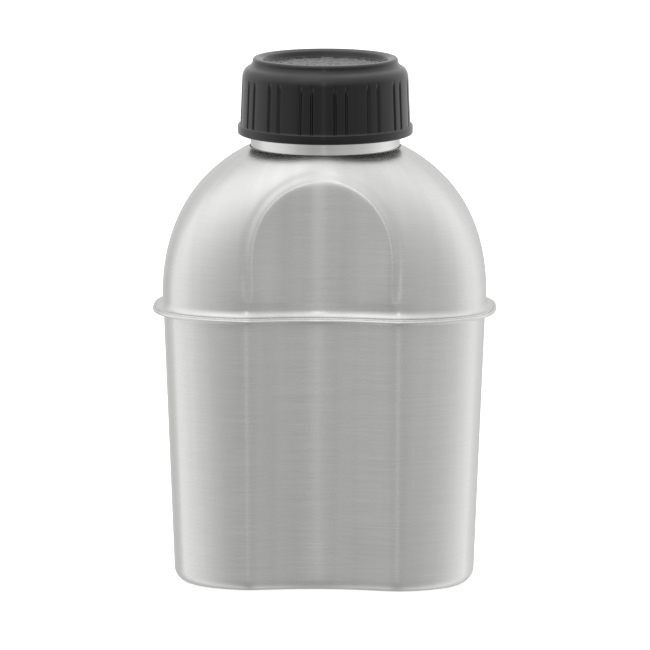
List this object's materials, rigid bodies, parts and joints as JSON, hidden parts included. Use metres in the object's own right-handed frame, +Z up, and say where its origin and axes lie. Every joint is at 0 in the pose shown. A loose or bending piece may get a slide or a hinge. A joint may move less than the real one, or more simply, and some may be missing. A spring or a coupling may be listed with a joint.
{
  "type": "canteen",
  "caption": "Kidney-shaped steel canteen with a wide-mouth screw cap, standing in a nesting steel cup with folding wire handles.",
  "frame": {"origin": "middle of the footprint, on the plane that the cup stands on", "axes": "+Z up, +X to the right of someone who faces the hollow side, -Y towards the hollow side, +Y towards the handles"},
  "size_m": [0.1376, 0.0869, 0.2106],
  "materials": {
    "cup_steel": "fine horizontal brushing, satin",
    "canteen_steel": "fine horizontal brushing, satin",
    "neck_steel": "turned, smooth satin",
    "handle_steel": "drawn wire, smooth",
    "cap_plastic": "moulded, fine-grained satin black",
    "gasket_silicone": "matt moulded silicone"
  },
  "bodies": {
    "cup": {"cup_body": "cup_steel", "handle_bracket": "cup_steel"},
    "handle_left": {"handle_left": "handle_steel"},
    "handle_right": {"handle_right": "handle_steel"},
    "canteen": {"canteen_lower_shell": "canteen_steel", "canteen_upper_shell": "canteen_steel", "neck_collar": "neck_steel"},
    "gasket": {"cap_gasket": "gasket_silicone"},
    "cap": {"screw_cap": "cap_plastic"}
  },
  "joints": [
    {"name": "canteen_lift", "type": "slide", "parent": "cup", "child": "canteen", "axis": [0, 0, 1], "range_m": [0, 0.125]},
    {"name": "cap_lift", "type": "slide", "parent": "canteen", "child": "gasket", "axis": [0, 0, 1], "range_m": [0, 0.0241]},
    {"name": "cap_turn", "type": "hinge", "parent": "gasket", "child": "cap", "pos_m": [0, 0.00038, 0.191], "axis": [0, 0, 1], "range_deg": [0, 2160]},
    {"name": "handle_left_swing", "type": "hinge", "parent": "cup", "child": "handle_left", "pos_m": [-0.01104, 0.03937, 0.059], "axis": [0, -0.0392, -0.9992], "range_deg": [0, 118]},
    {"name": "handle_right_swing", "type": "hinge", "parent": "cup", "child": "handle_right", "pos_m": [0.01104, 0.03937, 0.059], "axis": [0, 0.0392, 0.9992], "range_deg": [0, 118]}
  ],
  "couplings": [
    {"joint": "cap_lift", "follows": "cap_turn", "m_per_rad": 0.00063662}
  ]
}
